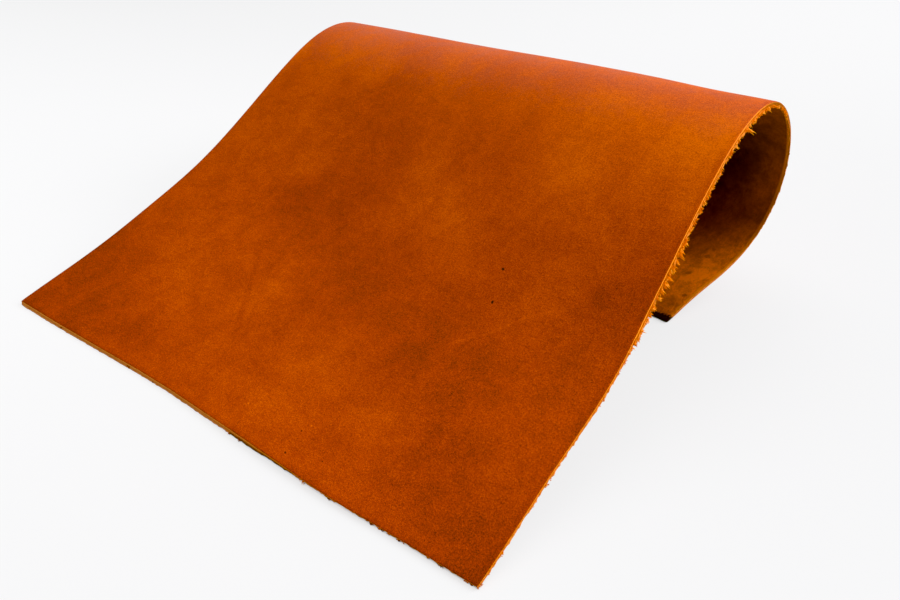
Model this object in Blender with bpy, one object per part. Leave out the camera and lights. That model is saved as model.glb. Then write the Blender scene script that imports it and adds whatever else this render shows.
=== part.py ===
"""A cut panel of thick vegetable-tanned leather, bent over on itself into an open loop.

The panel is one flat rectangle of leather, with its smooth grain side outwards. Its front end rests
on the table. From there the top flap climbs to a rounded fold, the back turns down behind the fold,
and the under flap comes forward again until its own cut end rests on the table inside the loop.

A place on the flat panel has two measures: `across`, from the right edge (0) to the left edge
(PANEL_WIDTH), and `along`, from the front end (0) to the under end (PANEL_LENGTH).

Metres, +Z up. The front end faces -Y and the right edge faces +X. The origin is on the table, under
the middle of the part.
"""
import math
from collections import namedtuple

import bpy
import numpy as np

# ---- Driving dimensions -------------------------------------------------------------------------

PANEL_WIDTH = 0.297
PANEL_LENGTH = 0.420
THICKNESS = 0.0025

# The leather bends about parallel lines, which lie a little askew to the panel's ends. So the under
# flap comes back further to the left than the top flap set out.
BEND_SKEW = math.radians(7.3)

# How steeply the panel runs at each section, in degrees: 0 heads level to the back, 90 straight up,
# -90 straight down and -180 level to the front again. `travel` is the distance from the front right
# corner, measured on the leather and square to the bend lines. The right and the left edge have
# their own slopes, and the leather between them passes evenly from one to the other.
Section = namedtuple("Section", "travel right_slope left_slope")
SECTIONS = (
    Section(0.000, 22, 15),      # front end
    Section(0.030, 26, 20),      # low swell behind the front end
    Section(0.065, 19, 20),      # shallow hollow
    Section(0.105, 36, 29),
    Section(0.145, 40, 32),      # steepest stretch of the top flap
    Section(0.185, 36, 28),
    Section(0.215, 22, 10),
    Section(0.240, -6, -22),     # over the fold
    Section(0.265, -34, -51),
    Section(0.290, -61, -82),
    Section(0.315, -80, -107),   # down the back
    Section(0.345, -128, -149),  # round the back's foot
    Section(0.380, -165, -169),
    Section(0.420, -147, -139),  # under flap, down to its end
)

# The slopes pass from section to section over this distance, so that no section shows as a kink.
EASE = 0.022

# Each end stands on its lower corner, which is pressed flat over this width.
PRESSED_FLAT = 0.0015

# The front end is cut a little round: it stands out this far, halfway between its corners.
FRONT_CUT_BULGE = 0.0011

# The front end touches the table near its two corners and bows up between them. The bow dies away
# within BOW_REACH of the end.
FRONT_BOW = 0.0010
BOW_START = 0.15
BOW_REACH = 0.040

# The slopes bring the under end to within 2 mm of the table, and from here on the under flap is let
# down or eased up by what is left.
LET_DOWN_FROM = 0.350

# ---- Steps of the mesh --------------------------------------------------------------------------

STEPS_ACROSS = 16
STEPS_ALONG = 62
TRAVEL_STEP = 0.001

# Neighbouring faces that meet at more than this show a sharp edge: only those at the cut edges do.
SHARP_EDGE = math.radians(40)

LEATHER_COLOUR = (0.47, 0.12, 0.02, 1.0)
LEATHER_ROUGHNESS = 0.5


def smooth_step(t):
    """0 below t = 0, 1 above t = 1, and an even S-curve between them."""
    t = np.clip(t, 0.0, 1.0)
    return t * t * (3.0 - 2.0 * t)


def eased(values):
    """Running mean over EASE, taken twice, with the end values held past the ends."""
    half = round(EASE / TRAVEL_STEP / 2)
    window = np.ones(2 * half + 1) / (2 * half + 1)
    for _ in range(2):
        values = np.convolve(np.pad(values, half, mode="edge"), window, mode="valid")
    return values


def edge_slopes():
    """The travel stations, with the eased slope of the right and of the left edge at each."""
    travel_of_sections = [section.travel for section in SECTIONS]
    first = -PANEL_WIDTH * math.sin(BEND_SKEW)
    travel = np.arange(first - EASE, PANEL_LENGTH + EASE, TRAVEL_STEP)
    right = np.interp(travel, travel_of_sections, [section.right_slope for section in SECTIONS])
    left = np.interp(travel, travel_of_sections, [section.left_slope for section in SECTIONS])
    return travel, eased(np.radians(right)), eased(np.radians(left))


def running_total(values):
    """The integral of `values` over travel, by trapezia, starting at 0."""
    trapezia = (values[1:] + values[:-1]) / 2 * TRAVEL_STEP
    return np.concatenate([[0.0], np.cumsum(trapezia)])


def strip_stations(across, steps):
    """Places along one lengthwise strip, from the round front cut to the straight under end.

    The first and the last step are as long as the pressed feet are wide.
    """
    share = across / PANEL_WIDTH
    front = -FRONT_CUT_BULGE * 4.0 * share * (1.0 - share)
    middle = np.linspace(front + PRESSED_FLAT, PANEL_LENGTH - PRESSED_FLAT, steps - 1)
    return np.concatenate([[front], middle, [PANEL_LENGTH]])


def strip_course(across, along):
    """How far back, how high and how steep one lengthwise strip runs, before it is set down.

    The course is the integral of the slope over travel: cos(slope) heads back, sin(slope) heads up.
    """
    share = across / PANEL_WIDTH
    stations, right, left = edge_slopes()
    slopes = (1.0 - share) * right + share * left
    back = running_total(np.cos(slopes))
    back -= np.interp(0.0, stations, back)
    up = running_total(np.sin(slopes))
    travel = along * math.cos(BEND_SKEW) - across * math.sin(BEND_SKEW)
    return [np.interp(travel, stations, values) for values in (back, up, slopes)]


def set_down(height, slope, across, along):
    """The grain side's heights once both ends of the strip are on the table.

    The second point from the front rests on its flesh side and the second from the end on its
    grain side, so the outermost point of each foot dips below the table.
    """
    share = across / PANEL_WIDTH
    height = height - height[1] + THICKNESS * math.cos(slope[1])
    bow = math.sin(math.pi * np.clip((share - BOW_START) / (1.0 - 2.0 * BOW_START), 0.0, 1.0)) ** 2
    height = height + FRONT_BOW * bow * np.exp(-along / BOW_REACH)
    let_down = smooth_step((along - LET_DOWN_FROM) / (PANEL_LENGTH - LET_DOWN_FROM))
    return height - height[-2] * let_down


def bent_strip(across, along):
    """The grain and the flesh side of one lengthwise strip of the panel, as two lists of points."""
    y, height, slope = strip_course(across, along)
    x = -(across * math.cos(BEND_SKEW) + along * math.sin(BEND_SKEW))
    z = set_down(height, slope, across, along)
    grain = np.stack([x, y, z], axis=-1)
    flesh = np.stack([x, y + THICKNESS * np.sin(slope), z - THICKNESS * np.cos(slope)], axis=-1)
    return grain, flesh


def panel_points():
    """All points of the panel, by side (grain, flesh), by place across and by place along.

    Points that would lie under the table are pressed up to it, which makes the flat feet.
    """
    columns = np.linspace(0.0, PANEL_WIDTH, STEPS_ACROSS + 1)
    strips = [bent_strip(across, strip_stations(across, STEPS_ALONG)) for across in columns]
    points = np.array(strips).swapaxes(0, 1)
    points[..., 2] = np.maximum(points[..., 2], 0.0)
    low = points.min(axis=(0, 1, 2))
    high = points.max(axis=(0, 1, 2))
    points[..., :2] -= (low + high)[:2] / 2
    return points


def panel_faces(columns, rows):
    """The quads of a closed panel whose grain and flesh sides are grids of columns by rows."""
    def corner(side, column, row):
        return (side * columns + column) * rows + row

    faces = []
    for column in range(columns - 1):
        for row in range(rows - 1):
            around = ((column, row), (column, row + 1), (column + 1, row + 1), (column + 1, row))
            faces.append([corner(0, *place) for place in around])
            faces.append([corner(1, *place) for place in reversed(around)])

    rim = [(column, 0) for column in range(columns - 1)]
    rim += [(columns - 1, row) for row in range(rows - 1)]
    rim += [(column, rows - 1) for column in range(columns - 1, 0, -1)]
    rim += [(0, row) for row in range(rows - 1, 0, -1)]
    for here, there in zip(rim, rim[1:] + rim[:1]):
        faces.append([corner(0, *here), corner(0, *there), corner(1, *there), corner(1, *here)])
    return faces


def leather_material():
    """Plain finished leather in its grain-side colour."""
    material = bpy.data.materials.new("leather")
    material.use_nodes = True
    shader = material.node_tree.nodes["Principled BSDF"]
    shader.inputs["Base Color"].default_value = LEATHER_COLOUR
    shader.inputs["Roughness"].default_value = LEATHER_ROUGHNESS
    shader.inputs["Metallic"].default_value = 0.0
    return material


def make_leather_panel():
    """The panel as one closed solid, smooth over its sides and sharp at its cut edges."""
    points = panel_points()
    columns, rows = points.shape[1:3]
    mesh = bpy.data.meshes.new("leather_panel")
    mesh.from_pydata(points.reshape(-1, 3).tolist(), [], panel_faces(columns, rows))
    mesh.validate()
    mesh.materials.append(leather_material())
    mesh.shade_smooth()
    mesh.set_sharp_from_angle(angle=SHARP_EDGE)
    panel = bpy.data.objects.new("leather_panel", mesh)
    bpy.context.scene.collection.objects.link(panel)


for old in list(bpy.data.objects):
    bpy.data.objects.remove(old, do_unlink=True)
make_leather_panel()
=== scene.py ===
# %% [markdown]
# # A panel of thick leather, bent over into an open loop
#
# The real thing is one cut rectangle of vegetable-tanned cowhide. Its smooth outer side, the grain, was
# tanned, dyed and rubbed with wax, and its inner side, the flesh, was left as rough suede. The packed
# model brings the exact solid of the panel. This lesson builds the panel that is looked at: the same
# bends at a finer step, with a cut edge, loose fibres, pores, clouds of dye and a napped inside.

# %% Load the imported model
import math

import bpy
import numpy as np
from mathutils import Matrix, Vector


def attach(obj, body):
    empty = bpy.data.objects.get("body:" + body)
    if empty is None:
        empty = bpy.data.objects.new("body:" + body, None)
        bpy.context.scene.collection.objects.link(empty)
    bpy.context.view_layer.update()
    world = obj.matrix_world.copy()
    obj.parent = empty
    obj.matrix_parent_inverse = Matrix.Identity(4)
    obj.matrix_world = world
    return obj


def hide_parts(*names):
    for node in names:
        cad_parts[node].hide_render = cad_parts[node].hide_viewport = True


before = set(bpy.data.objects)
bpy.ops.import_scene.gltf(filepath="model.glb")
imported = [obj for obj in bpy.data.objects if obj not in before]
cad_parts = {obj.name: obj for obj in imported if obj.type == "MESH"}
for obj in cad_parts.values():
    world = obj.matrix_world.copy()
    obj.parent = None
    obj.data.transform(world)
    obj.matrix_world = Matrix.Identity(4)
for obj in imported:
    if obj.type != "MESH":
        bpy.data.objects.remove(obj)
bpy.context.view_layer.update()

print("nodes in the packed model:", sorted(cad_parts))

# %% [markdown]
# ## The leather before it was bent
#
# A sheet is best described twice: flat, as it was cut, and bent, as it stands. Flat, a place on the
# panel has three measures. `across` runs from the right edge to the left one, `along` runs from the
# front end to the end that lies under the loop, and `depth` runs from the grain side to the flesh side.
# Every pattern in this lesson is laid out on those flat measures, so that it follows the bends.

# %% Sizes of the cut panel, in metres
PANEL_WIDTH = 0.297
PANEL_LENGTH = 0.420
THICKNESS = 0.0025
PERIMETER = 2 * (PANEL_WIDTH + PANEL_LENGTH)
print(f"panel {PANEL_WIDTH * 1000:.0f} x {PANEL_LENGTH * 1000:.0f} x {THICKNESS * 1000:.1f} mm")

# %% [markdown]
# ## The course of the bend
#
# Thick leather bends in one direction at a time, like card. So the whole shape follows from one thing:
# how steeply the leather runs at each distance from the front corner. That slope is listed for
# the right edge and for the left edge. Adding up the cosine and the sine of the slope, step by step,
# gives how far back and how high the leather has come. The same table made the imported solid.

# %% Slopes, listed from the front end to the under end
BEND_SKEW = math.radians(7.3)
TRAVEL_STEP = 0.001
EASE = 0.022    # the slopes pass from row to row over this distance, so that no row shows as a kink
SECTIONS = np.array([
    # travel, slope of the right edge, slope of the left edge (metres, degrees)
    (0.000, 22, 15),      # front end
    (0.030, 26, 20),      # low swell behind the front end
    (0.065, 19, 20),      # shallow hollow
    (0.105, 36, 29),
    (0.145, 40, 32),      # steepest stretch of the top flap
    (0.185, 36, 28),
    (0.215, 22, 10),
    (0.240, -6, -22),     # over the fold
    (0.265, -34, -51),
    (0.290, -61, -82),
    (0.315, -80, -107),   # down the back
    (0.345, -128, -149),  # round the back's foot
    (0.380, -165, -169),
    (0.420, -147, -139),  # under flap, down to its end
])


def smooth_step(t):
    """0 below t = 0, 1 above t = 1, and between them 3t² - 2t³."""
    t = np.clip(t, 0.0, 1.0)
    return t * t * (3.0 - 2.0 * t)


def eased(values):
    """Running mean over EASE, taken twice, with the end values held past the ends."""
    half = round(EASE / TRAVEL_STEP / 2)
    window = np.ones(2 * half + 1) / (2 * half + 1)
    for _ in range(2):
        values = np.convolve(np.pad(values, half, mode="edge"), window, mode="valid")
    return values


def running_total(slopes):
    """Integral over travel, by trapezia, along the last axis, starting at 0."""
    trapezia = (slopes[:, 1:] + slopes[:, :-1]) / 2 * TRAVEL_STEP
    return np.pad(np.cumsum(trapezia, axis=1), ((0, 0), (1, 0)))


# %% Add the slopes up to a course, for many strips side by side
STRIPS = 67
FIRST_TRAVEL = -PANEL_WIDTH * math.sin(BEND_SKEW) - EASE
TRAVELS = np.arange(FIRST_TRAVEL, PANEL_LENGTH + EASE, TRAVEL_STEP)
SHARES = np.linspace(0.0, 1.0, STRIPS)[:, None]
right_slopes = eased(np.radians(np.interp(TRAVELS, SECTIONS[:, 0], SECTIONS[:, 1])))
left_slopes = eased(np.radians(np.interp(TRAVELS, SECTIONS[:, 0], SECTIONS[:, 2])))
SLOPE = (1.0 - SHARES) * right_slopes + SHARES * left_slopes
BACK = running_total(np.cos(SLOPE))
BACK -= np.array([[np.interp(0.0, TRAVELS, row)] for row in BACK])
UP = running_total(np.sin(SLOPE))
print("slopes from", round(math.degrees(SLOPE.min())), "to", round(math.degrees(SLOPE.max())), "degrees")

# %% [markdown]
# ## From the flat panel to the bent one
#
# One function now carries any flat place to its place on the table. Because it works on whole arrays,
# the panel, its cut edge and every loose fibre can share it, and nothing can drift apart. The front end
# and the under end both stand on the table, so each strip is lifted until its own two ends touch down.
# The front end was cut by hand, a little to and fro, and near its right corner it bows up off the table.

# %% Where the two ends touch the table
PRESSED_FLAT = 0.0015     # each end stands on its lower corner, pressed flat over this width
FRONT_CUT = np.array([
    # across, how far the front cut stands out there (mm)
    (0, 0.3),
    (17, 0.6),
    (30, 0.8),
    (45, 1.3),
    (60, 2.1),
    (76, 2.4),
    (110, 1.8),
    (150, 0.0),
    (172, -0.9),
    (195, -1.0),
    (225, -0.1),
    (262, 0.7),
    (297, 0.8),
])
FRONT_BOW = 0.0012        # height of the bow
BOW_MIDDLE = 0.105        # across
BOW_WIDTH = 0.050         # across, to each side
BOW_REACH = 0.040         # along
LET_DOWN_FROM = 0.350     # along: from here on the under flap is let down, or eased up, to the table
BOX_MIDDLE = (-0.17398, 0.11066)    # x and y of the middle, before the panel moves over the origin
print("the front cut strays from", FRONT_CUT[:, 1].min(), "to", FRONT_CUT[:, 1].max(), "mm")


# %% Read the course, and set both ends down
def look_up(table, share, travel):
    """Reads table[share, travel] between its entries, by the bilinear rule."""
    column = share * (len(table) - 1)
    row = (travel - FIRST_TRAVEL) / TRAVEL_STEP
    left = np.clip(np.floor(column).astype(int), 0, table.shape[0] - 2)
    below = np.clip(np.floor(row).astype(int), 0, table.shape[1] - 2)
    a = column - left
    b = row - below
    near = table[left, below] * (1.0 - b) + table[left, below + 1] * b
    far = table[left + 1, below] * (1.0 - b) + table[left + 1, below + 1] * b
    return near * (1.0 - a) + far * a


def travel_of(across, along):
    """Distance from the front right corner, square to the bend lines, which lie BEND_SKEW askew."""
    return along * math.cos(BEND_SKEW) - across * math.sin(BEND_SKEW)


def front_stray(share):
    """How far the front cut stands out, read from FRONT_CUT on straight lines between its rows."""
    return np.interp(share * PANEL_WIDTH * 1000, FRONT_CUT[:, 0], FRONT_CUT[:, 1]) / 1000


strip_across = SHARES[:, 0] * PANEL_WIDTH
front_travel = travel_of(strip_across, PRESSED_FLAT - front_stray(SHARES[:, 0]))
end_travel = travel_of(strip_across, PANEL_LENGTH - PRESSED_FLAT)
FRONT_LIFT = THICKNESS * np.cos(look_up(SLOPE, SHARES[:, 0], front_travel))
FRONT_LIFT -= look_up(UP, SHARES[:, 0], front_travel)
END_DROP = FRONT_LIFT + look_up(UP, SHARES[:, 0], end_travel)
print("the under end is let down by", np.round([END_DROP.min() * 1000, END_DROP.max() * 1000], 1), "mm")

# %% [markdown]
# ## Soft troughs and ridges
#
# A side of leather was once the skin of an animal, so it never lies as true as card. Each entry below
# is one soft ridge (height above 0) or trough (below 0), listed one by one. Its shape is a bell, longer in
# one direction than in the other, and heights of half a millimetre are enough to move the light. Only
# beside the open mouth does the back swell out further, by 1.6 mm.

# %% Unevenness of the sheet
SWELLS = np.array([
    # across, along, long radius, short radius (mm), turn (degrees), height (mm)
    (40, 30, 60, 16, 80, -0.35),
    (95, 62, 70, 20, 60, 0.45),
    (215, 48, 60, 22, 100, -0.40),
    (150, 105, 80, 18, 75, -0.35),
    (262, 118, 45, 20, 20, 0.35),
    (60, 150, 60, 24, 110, 0.30),
    (190, 178, 70, 22, 95, 0.40),
    (20, 215, 40, 12, 15, -0.25),
    (120, 285, 50, 20, 90, 0.35),
    (250, 300, 50, 20, 70, -0.30),
    (60, 340, 55, 18, 100, 0.30),
    (180, 385, 60, 16, 85, -0.25),
    (0, 252, 25, 22, 0, 0.50),    # the fold, at the open mouth
    (0, 345, 50, 40, 0, 1.60),    # the back, at the open mouth
])
print(len(SWELLS), "swells, from", SWELLS[:, 5].min(), "to", SWELLS[:, 5].max(), "mm high")


def bells(table, across, along):
    """Sum of height · exp(-(p/long)² - (q/short)²), with p, q measured along each bell's turned axes."""
    total = np.zeros(np.broadcast(across, along).shape)
    for at_across, at_along, long_radius, short_radius, turn, height in table:
        c, s = math.cos(math.radians(turn)), math.sin(math.radians(turn))
        p = (across * 1000 - at_across) * s + (along * 1000 - at_along) * c
        q = (across * 1000 - at_across) * c - (along * 1000 - at_along) * s
        total += height * np.exp(-(p / long_radius) ** 2 - (q / short_radius) ** 2)
    return total


# %% Carry a flat place to its bent one
def place(across, along, depth, on_table=True):
    """The bent place of a flat one.

    The course gives y, the grain side's height and the slope. Going in by `depth` moves a point square
    to the slope: +depth·sin back and -depth·cos up. The front's stray fades away evenly along the panel,
    and the bow as exp(-along/BOW_REACH). What would sink into the table is pressed flat.
    """
    share = across / PANEL_WIDTH
    stretched = along - front_stray(share) * (1.0 - along / PANEL_LENGTH)
    travel = travel_of(across, stretched)
    slope = look_up(SLOPE, share, travel)
    height = look_up(UP, share, travel) + np.interp(share, SHARES[:, 0], FRONT_LIFT)
    bow = np.exp(-((across - BOW_MIDDLE) / BOW_WIDTH) ** 2)
    height = height + FRONT_BOW * bow * np.exp(-along / BOW_REACH)
    let_down = smooth_step((along - LET_DOWN_FROM) / (PANEL_LENGTH - LET_DOWN_FROM))
    height = height - np.interp(share, SHARES[:, 0], END_DROP) * let_down
    inwards = depth - bells(SWELLS, across, along) / 1000
    x = -(across * math.cos(BEND_SKEW) + stretched * math.sin(BEND_SKEW)) - BOX_MIDDLE[0]
    y = look_up(BACK, share, travel) + inwards * np.sin(slope) - BOX_MIDDLE[1]
    z = height - inwards * np.cos(slope)
    if on_table:
        z = np.maximum(z, 0.0)
    return np.stack(np.broadcast_arrays(x, y, z), axis=-1)


print("front right corner at", np.round(place(np.zeros(1), np.zeros(1), 0.0)[0] * 1000, 1), "mm")

# %% [markdown]
# ## The cut edge as a profile carried round the panel
#
# A knife leaves the tight grain layer crisp and tears the loose fibres of the flesh side. The edge is
# therefore a profile: a short list of steps from the grain side, over the cut, to the flesh side. It is
# carried right round the outline, and each step is moved in and out by its own share of roughness. The
# knife also leaned and strayed, so a second list says how the cut changes on its way round.
# Sculpting the same thing by hand would take hours and could never be changed again.

# %% Profile of the edge
# inset from the outline and depth below the grain side (mm), share of the torn roughness,
# and the material of the band that follows: 0 grain, 1 cut edge, 2 flesh
EDGE_PROFILE = np.array([
    (1.70, 0.000, 0.00, 0),
    (1.15, 0.000, 0.00, 0),
    (0.65, 0.015, 0.00, 0),
    (0.32, 0.070, 0.04, 0),
    (0.12, 0.190, 0.08, 1),
    (0.00, 0.420, 0.12, 1),
    (0.06, 0.800, 0.30, 1),
    (0.14, 1.150, 0.60, 1),
    (0.06, 1.500, 0.95, 1),
    (-0.06, 1.850, 1.20, 1),
    (-0.12, 2.200, 1.35, 1),
    (0.02, 2.480, 1.35, 1),
    (0.42, 2.580, 0.95, 2),
    (1.10, 2.520, 0.40, 2),
    (1.90, 2.500, 0.08, 2),
])
print("profile of", len(EDGE_PROFILE), "steps")

# %% How the cut changes on its way round
# position round the outline (mm), how far the knife leaned (mm, above 0 where the flesh side juts out),
# raggedness, tufts per centimetre, and how far the cut strays outwards (mm)
LEAN, RAGGED, TUFTS, STRAY = 1, 2, 3, 4
CUT_COURSE = np.array([
    (0, -0.60, 0.50, 2, 0.3),
    (98, -0.50, 0.65, 3, 0.2),
    (122, 0.40, 1.25, 17, 0.0),    # here the rising right edge is torn to a fringe
    (152, 0.40, 1.25, 17, 0.0),
    (162, 0.15, 0.95, 9, 0.0),
    (232, 0.15, 0.95, 9, 0.0),
    (262, 0.30, 0.80, 7, 0.0),
    (300, 0.80, 0.60, 4, 0.8),     # behind and under the loop
    (412, 0.80, 0.50, 2, 0.8),
    (420, 0.15, 0.50, 0, 0.0),     # end of the right edge
    (438, 0.15, 0.50, 0, 0.0),
    (442, 0.15, 0.50, 3, 0.0),
    (717, 0.15, 0.50, 3, 0.0),     # end of the under end
    (1125, 0.20, 0.60, 4, 0.0),
    (1137, 0.80, 0.40, 1.5, 0.1),  # end of the left edge
    (1142, 1.25, 0.40, 1.5, 0.2),
    (1320, 0.80, 0.50, 1.5, 0.0),  # the front end: a leaning cut on its left, an undercut one on its right
    (1350, -0.30, 0.50, 2, 0.0),
    (1370, -0.60, 0.60, 2, 0.0),
    (1434, -0.60, 0.50, 1, -0.1),
])
print("the knife leaned by", CUT_COURSE[:, LEAN].min(), "to", CUT_COURSE[:, LEAN].max(), "mm")


# %% Curves and places round the outline
def wander(position, wavelength, seed):
    """A random curve from -1 to 1, closed on itself after one round of the outline.

    Random heights stand one wavelength apart, and smooth steps lead from each to the next.
    """
    knots = round(PERIMETER / wavelength)
    heights = np.random.default_rng(seed).uniform(-1.0, 1.0, knots)
    at = position / PERIMETER * knots
    first = np.floor(at).astype(int)
    step = smooth_step(at - first)
    return heights[first % knots] * (1.0 - step) + heights[(first + 1) % knots] * step


def cut_course(position, column):
    """One column of CUT_COURSE at any position, read on straight lines between its rows."""
    return np.interp(position * 1000, CUT_COURSE[:, 0], CUT_COURSE[:, column])


def outline(steps_along, steps_across):
    """Once round the outline as shares (u, v) of the width and the length, each from 0 to 1.

    It goes up the right edge, along the under end, down the left edge and back along the front end.
    """
    f = np.arange(steps_along) / steps_along
    g = np.arange(steps_across) / steps_across
    u = np.concatenate([0 * f, g, 0 * f + 1, 1 - g])
    v = np.concatenate([f, 0 * g + 1, 1 - f, 0 * g])
    return u, v


def flat_place(u, v, inset):
    """Shares to metres on a rectangle drawn `inset` inside the outline: inset + u·(width - 2·inset)."""
    across = inset + u * (PANEL_WIDTH - 2 * inset)
    along = inset + v * (PANEL_LENGTH - 2 * inset)
    return across, along


# %% [markdown]
# ## Tearing the edge
#
# The torn outline is a sum of random curves, one long and slow, one short and quick, and a third that
# is cubed, so that most of it lies near zero and a few spikes stand out. A fourth differs from each row
# of the profile to the next. The corners are also taken in by a fraction of a millimetre, because no
# knife leaves a corner of soft leather quite sharp.

# %% Roughness round the outline
CORNER_INSET = 0.0002
CORNER_RADIUS = 0.0009


def torn(position, row):
    """Outward move of the torn outline in metres, at one row of the profile.

    In millimetres 0.16·slow + 0.16·quick + 0.50·|spikes|³ + 0.14·own - 0.08, times the raggedness.
    """
    slow = wander(position, wavelength=0.0042, seed=11)
    quick = wander(position + 0.0003 * row, wavelength=0.0017, seed=12)
    spikes = np.abs(wander(position + 0.0002 * row, wavelength=0.0023, seed=13)) ** 3
    own = wander(position, wavelength=0.0013, seed=40 + row)
    torn_by = 0.16 * slow + 0.16 * quick + 0.50 * spikes + 0.14 * own - 0.08
    return torn_by / 1000 * cut_course(position, RAGGED)


def corner_rounding(u, v):
    """Extra inset near a corner: a bell, CORNER_INSET · exp(-(distance / CORNER_RADIUS)²)."""
    from_corner = np.hypot(np.minimum(u, 1 - u) * PANEL_WIDTH, np.minimum(v, 1 - v) * PANEL_LENGTH)
    return CORNER_INSET * np.exp(-(from_corner / CORNER_RADIUS) ** 2)


# %% Steps of the two grids and of the rim
GRID_INSET = 0.0025
COLUMNS = 99
ROWS = 140
FINE = 8    # steps of the rim for each step of a grid
rim_u, rim_v = outline(ROWS * FINE, COLUMNS * FINE)
RIM = len(rim_u)
length_steps = np.arange(ROWS * FINE) / (ROWS * FINE) * PANEL_LENGTH
width_steps = np.arange(COLUMNS * FINE) / (COLUMNS * FINE) * PANEL_WIDTH
rim_position = np.concatenate([
    length_steps,
    PANEL_LENGTH + width_steps,
    PANEL_LENGTH + PANEL_WIDTH + length_steps,
    2 * PANEL_LENGTH + PANEL_WIDTH + width_steps,
])
print(f"the edge is {PERIMETER:.3f} m long and has {RIM} steps of {PERIMETER / RIM * 1000:.2f} mm")

# %% [markdown]
# ## One closed mesh
#
# Two plain grids make the grain side and the flesh side, and the fine rim closes the gap between them.
# The rim has eight steps for each step of a grid. The faces that join them have eleven corners, which
# Blender shades without trouble and which keep the mesh closed, with no loose T-shaped joints.

# %% Flat measures of every vertex
NAP_HEIGHT = 0.06        # mm, how far the flesh side is uneven
TORN_DEPTH = 0.00012     # how far a fully rough row moves up and down
grid_u, grid_v = np.meshgrid(np.arange(COLUMNS + 1) / COLUMNS, np.arange(ROWS + 1) / ROWS, indexing="ij")
grid_across, grid_along = flat_place(grid_u.ravel(), grid_v.ravel(), GRID_INSET)
nap_lift = NAP_HEIGHT * wander(grid_across * 3 + grid_along, wavelength=0.009, seed=21) / 1000

flats = [np.stack([grid_across, grid_along, 0 * grid_across], axis=-1)]
for row, (inset, depth, roughness, _) in enumerate(EDGE_PROFILE):
    lean = cut_course(rim_position, LEAN) / 1000 * (0.5 - depth / 1000 / THICKNESS)
    stray = cut_course(rim_position, STRAY) / 1000
    rough_inset = inset / 1000 + lean - stray + corner_rounding(rim_u, rim_v)
    rough_inset = rough_inset - roughness * torn(rim_position, row)
    up_and_down = wander(rim_position, wavelength=0.0019, seed=70 + row)
    rough_depth = depth / 1000 + roughness * TORN_DEPTH * up_and_down
    rim_across, rim_along = flat_place(rim_u, rim_v, rough_inset)
    flats.append(np.stack([rim_across, rim_along, rough_depth], axis=-1))
flats.append(np.stack([grid_across, grid_along, THICKNESS + nap_lift], axis=-1))
flats = np.concatenate(flats)
print(f"{len(flats)} vertices")

# %% Faces of the grids, the rim and the joints between them
GRID = (COLUMNS + 1) * (ROWS + 1)
RINGS = len(EDGE_PROFILE)


def grid_numbers(first):
    """The numbers of a grid's vertices, by column and row, counted from `first`."""
    return first + np.arange(GRID).reshape(COLUMNS + 1, ROWS + 1)


def grid_faces(first, turned):
    """Quads of one grid of vertices numbered from `first`; `turned` reverses them for the flesh side."""
    number = grid_numbers(first)
    quads = np.stack([number[:-1, :-1], number[:-1, 1:], number[1:, 1:], number[1:, :-1]], axis=-1)
    quads = quads.reshape(-1, 4)
    return quads[:, ::-1] if turned else quads


def grid_rim(first):
    """Numbers of a grid's outer vertices, in the same order as outline()."""
    number = grid_numbers(first)
    return np.concatenate([number[0, :-1], number[:-1, -1], number[-1, :0:-1], number[:0:-1, 0]])


def rim_faces(first, second):
    """Quads between two rings of the rim, the first one nearer to the grain side."""
    ring = np.arange(RIM)
    following = np.roll(ring, -1)
    return np.stack([first + ring, second + ring, second + following, first + following], axis=-1)


def joint_faces(coarse, fine_first, from_grid):
    """Eleven-cornered faces between a grid's outer vertices and the nearest fine ring."""
    steps = np.arange(len(coarse))
    fine = [fine_first + (steps * FINE + k) % RIM for k in range(FINE + 1)]
    faces = np.stack([coarse, *fine, np.roll(coarse, -1)], axis=-1)
    return faces if from_grid else faces[:, ::-1]


# %% All faces, each group with the number of its material
flesh_first = GRID + RINGS * RIM
face_groups = [
    (grid_faces(0, turned=False), 0),
    (joint_faces(grid_rim(0), GRID, from_grid=True), 0),
]
for row in range(RINGS - 1):
    band = rim_faces(GRID + row * RIM, GRID + (row + 1) * RIM)
    face_groups.append((band, int(EDGE_PROFILE[row, 3])))
face_groups.append((joint_faces(grid_rim(flesh_first), GRID + (RINGS - 1) * RIM, from_grid=False), 2))
face_groups.append((grid_faces(flesh_first, turned=True), 2))
print("faces:", sum(len(faces) for faces, _ in face_groups))

# %% Put the leather into a mesh
def new_piece(name, points, faces):
    """A smooth-shaded mesh object at the origin, made from arrays of points and lists of faces."""
    mesh = bpy.data.meshes.new(name)
    mesh.from_pydata(points.reshape(-1, 3).tolist(), [], faces)
    mesh.shade_smooth()
    mesh.update()
    piece = bpy.data.objects.new(name, mesh)
    bpy.context.scene.collection.objects.link(piece)
    return piece


def new_attribute(piece, name, kind, values):
    """Stores one value or vector for each vertex, for the materials to read."""
    attribute = piece.data.attributes.new(name, kind, "POINT")
    attribute.data.foreach_set("vector" if kind == "FLOAT_VECTOR" else "value", values.ravel())


points = place(flats[:, 0], flats[:, 1], flats[:, 2])
all_faces = [face for faces, _ in face_groups for face in faces.tolist()]
leather = new_piece("leather_sheet", points, all_faces)
from_side = np.minimum(flats[:, 0], PANEL_WIDTH - flats[:, 0])
from_end = np.minimum(flats[:, 1], PANEL_LENGTH - flats[:, 1])
new_attribute(leather, "flat", "FLOAT_VECTOR", flats)
new_attribute(leather, "from_edge", "FLOAT", np.minimum(from_side, from_end))
leather.data.calc_loop_triangles()
print("leather:", len(leather.data.loop_triangles), "triangles")
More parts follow.
